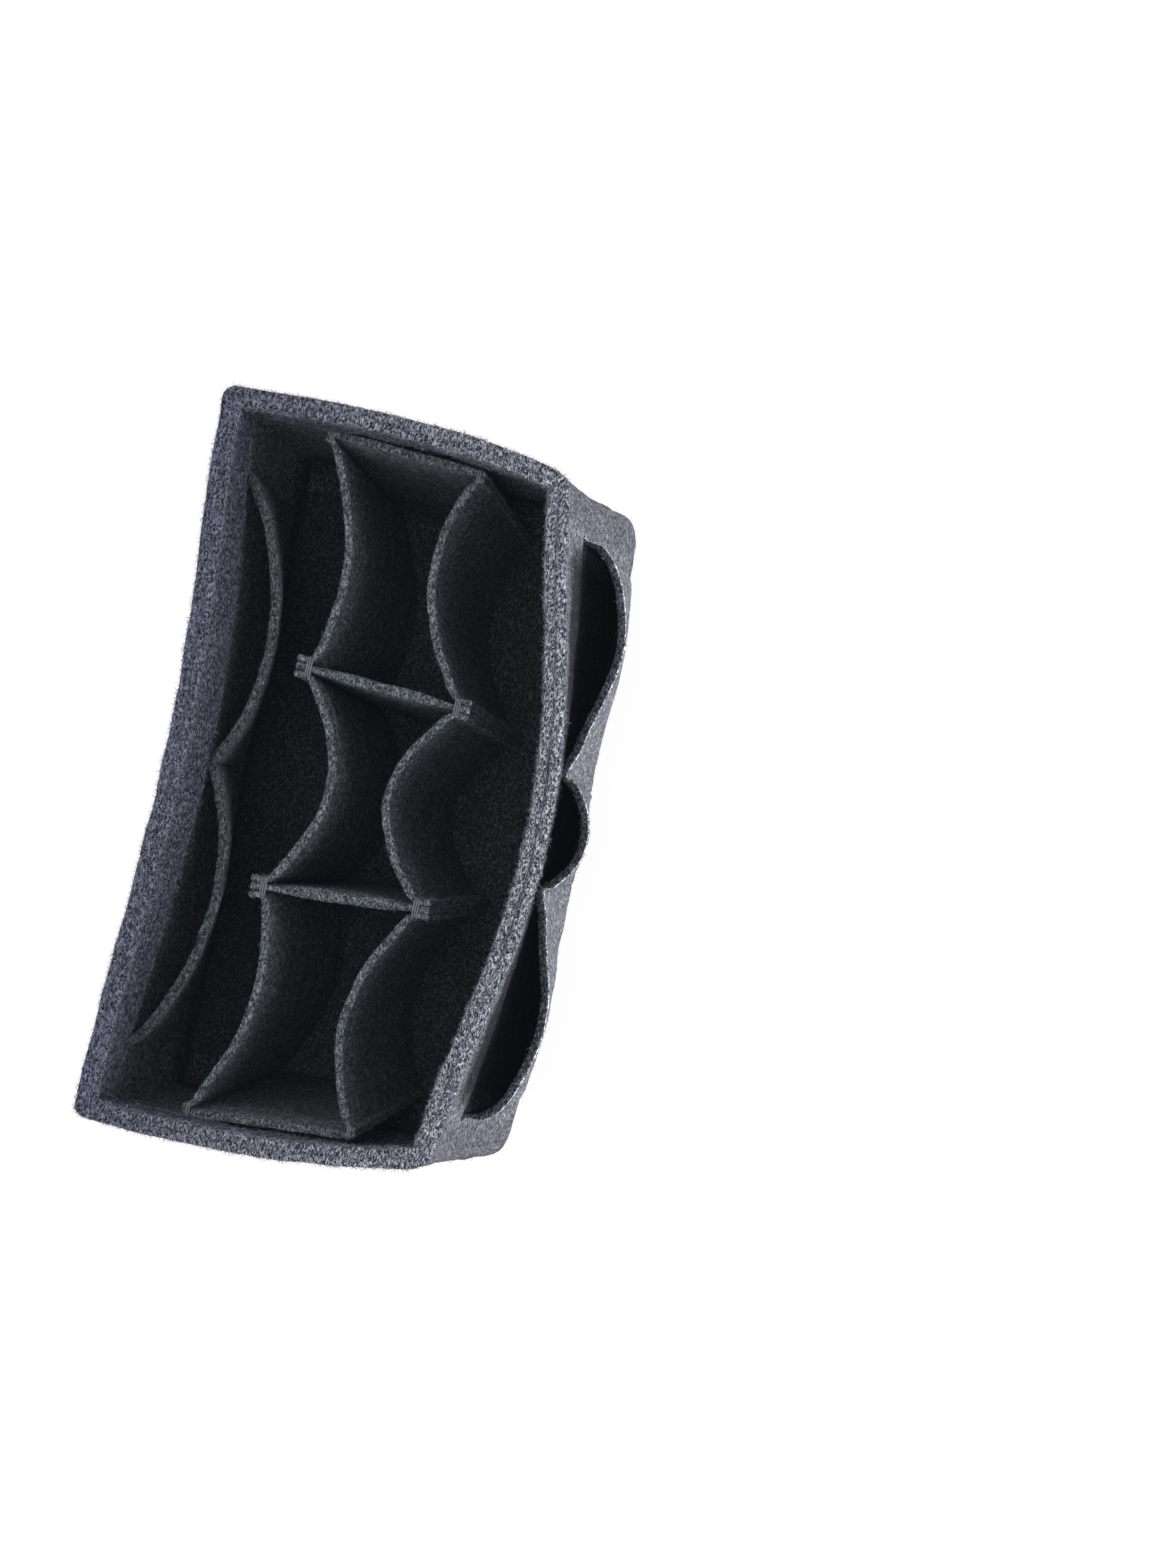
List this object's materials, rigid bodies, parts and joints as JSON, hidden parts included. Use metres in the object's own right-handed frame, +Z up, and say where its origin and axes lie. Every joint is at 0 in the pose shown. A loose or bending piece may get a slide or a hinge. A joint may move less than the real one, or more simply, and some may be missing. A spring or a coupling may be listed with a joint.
{
  "type": "purse organizer insert",
  "caption": "Open felt box with outer and inner pockets, a doubled rim and a lift-out divider of bowed cells, made to stand inside a handbag.",
  "frame": {"origin": "middle of the flat underside of the floor, on the ground", "axes": "+X along the box to the right as seen from the front, -Y out of the front with the pockets, +Z up"},
  "size_m": [0.26, 0.156, 0.172],
  "materials": {
    "outer_felt": "matte heathered grey-blue felt with short pale fibres",
    "inner_felt": "matte heathered dark grey-blue felt"
  },
  "bodies": {
    "box": {"front_wall": "outer_felt", "back_wall": "outer_felt", "end_wall_left": "outer_felt", "end_wall_right": "outer_felt", "bottom_panel": "outer_felt", "rim_facing_front": "outer_felt", "rim_facing_back": "outer_felt", "rim_facing_left": "outer_felt", "rim_facing_right": "outer_felt", "front_pocket_panel": "outer_felt", "inner_pocket_panel": "inner_felt"},
    "divider": {"divider_back_left": "inner_felt", "divider_back_centre": "inner_felt", "divider_back_right": "inner_felt", "divider_front_left": "inner_felt", "divider_front_centre": "inner_felt", "divider_front_right": "inner_felt", "divider_end_left": "inner_felt", "divider_end_right": "inner_felt", "divider_cross_left": "inner_felt", "divider_cross_right": "inner_felt"}
  },
  "joints": [
    {"name": "divider_lift", "type": "slide", "parent": "box", "child": "divider", "axis": [0, 0, 1], "range_m": [0, 0.18]}
  ]
}
